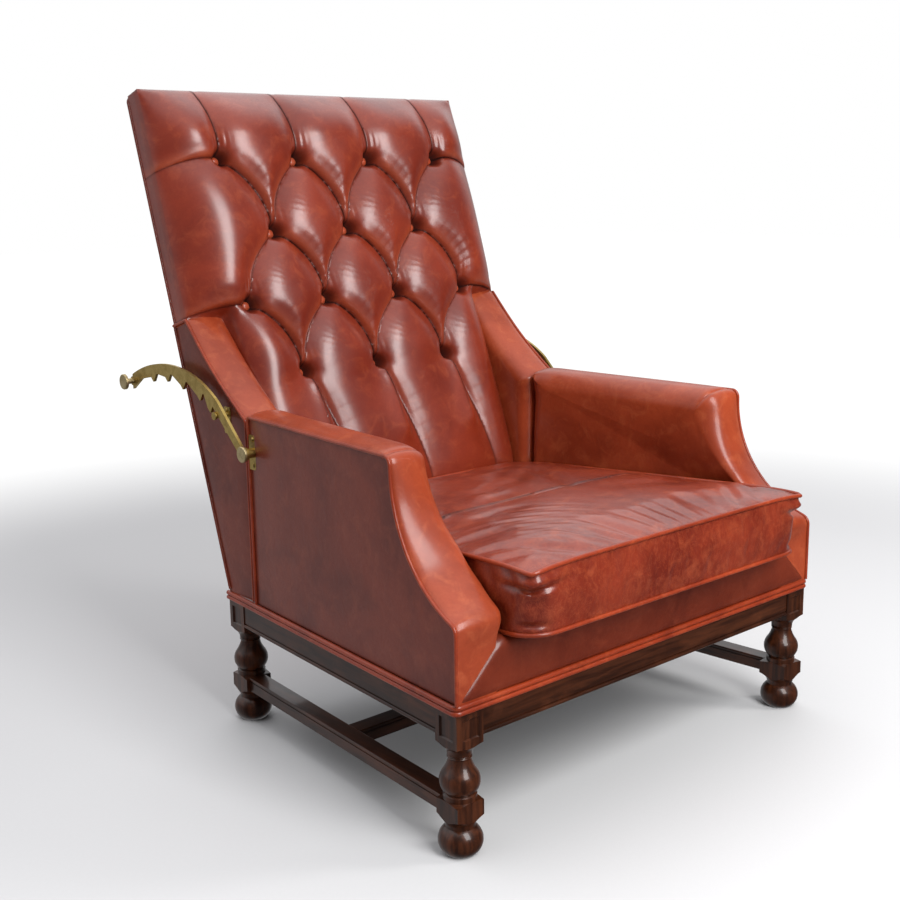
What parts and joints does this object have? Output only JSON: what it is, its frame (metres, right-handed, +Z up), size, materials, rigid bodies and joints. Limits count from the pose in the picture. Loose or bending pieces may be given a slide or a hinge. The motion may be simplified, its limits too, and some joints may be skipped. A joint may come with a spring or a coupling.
{
  "type": "reclining library armchair",
  "caption": "Leather library armchair on turned legs with an H stretcher: the buttoned, winged back reclines on butt hinges between two brass ratchet arms.",
  "frame": {"origin": "on the floor under the middle of the whole chair", "axes": "+X towards the chair's left-to-right as seen from the front (right in front view), +Y from the front to the back, +Z up"},
  "size_m": [0.8032, 0.9322, 1.0439],
  "materials": {
    "cognac_leather": "satin",
    "piping_leather": "satin",
    "dark_mahogany": "satin",
    "beech_frame": "matte",
    "aged_brass": "satin",
    "dull_iron": "matte",
    "jute_webbing": "matte",
    "black_hessian": "matte",
    "horsehair_stuffing": "matte"
  },
  "bodies": {
    "base": {"left_arm_cover": "cognac_leather", "left_arm_frame": "beech_frame", "left_rail": "dark_mahogany", "left_stretcher": "dark_mahogany", "front_left_leg": "dark_mahogany", "rear_left_leg": "dark_mahogany", "left_ratchet_bracket": "aged_brass", "left_pivot_screw": "aged_brass", "left_hinge_fixed_leaf": "dull_iron", "right_arm_cover": "cognac_leather", "right_arm_frame": "beech_frame", "right_rail": "dark_mahogany", "right_stretcher": "dark_mahogany", "front_right_leg": "dark_mahogany", "rear_right_leg": "dark_mahogany", "right_ratchet_bracket": "aged_brass", "right_pivot_screw": "aged_brass", "right_hinge_fixed_leaf": "dull_iron", "front_rail": "dark_mahogany", "rear_rail": "dark_mahogany", "cross_stretcher": "dark_mahogany", "corner_blocks": "beech_frame", "seat_webbing": "jute_webbing", "dust_cover": "black_hessian", "seat_platform": "horsehair_stuffing", "front_border": "cognac_leather", "seat_cushion": "cognac_leather", "base_welt": "piping_leather", "hinge_pins": "dull_iron", "hinge_screws_in_rail": "dull_iron", "bracket_screws": "aged_brass"},
    "backrest": {"back_left_stile": "beech_frame", "back_right_stile": "beech_frame", "back_bottom_rail": "beech_frame", "back_middle_rail": "beech_frame", "back_top_rail": "beech_frame", "back_webbing": "jute_webbing", "back_pad": "cognac_leather", "back_buttons": "cognac_leather", "outside_back_panel": "cognac_leather", "hinge_screws_in_back": "dull_iron", "catch_plate_screws": "aged_brass", "left_wing_frame": "beech_frame", "left_wing_cover": "cognac_leather", "left_catch_plate": "aged_brass", "left_hinge_moving_leaf": "dull_iron", "right_wing_frame": "beech_frame", "right_wing_cover": "cognac_leather", "right_catch_plate": "aged_brass", "right_hinge_moving_leaf": "dull_iron"},
    "left_ratchet": {"left_ratchet_arm": "aged_brass", "left_ratchet_knob": "aged_brass"},
    "right_ratchet": {"right_ratchet_arm": "aged_brass", "right_ratchet_knob": "aged_brass"}
  },
  "joints": [
    {"name": "back_recline", "type": "hinge", "parent": "base", "child": "backrest", "pos_m": [0, 0.20465, 0.219], "axis": [-1, 0, 0], "range_deg": [0, 36]},
    {"name": "left_ratchet_lift", "type": "hinge", "parent": "base", "child": "left_ratchet", "pos_m": [-0.3715, 0.10335, 0.4785], "axis": [1, 0, 0], "range_deg": [0, 54]},
    {"name": "right_ratchet_lift", "type": "hinge", "parent": "base", "child": "right_ratchet", "pos_m": [0.3715, 0.10335, 0.4785], "axis": [1, 0, 0], "range_deg": [0, 54]}
  ],
  "couplings": [
    {"joint": "left_ratchet_lift", "follows": "back_recline", "ratio": 1.5},
    {"joint": "right_ratchet_lift", "follows": "back_recline", "ratio": 1.5}
  ]
}
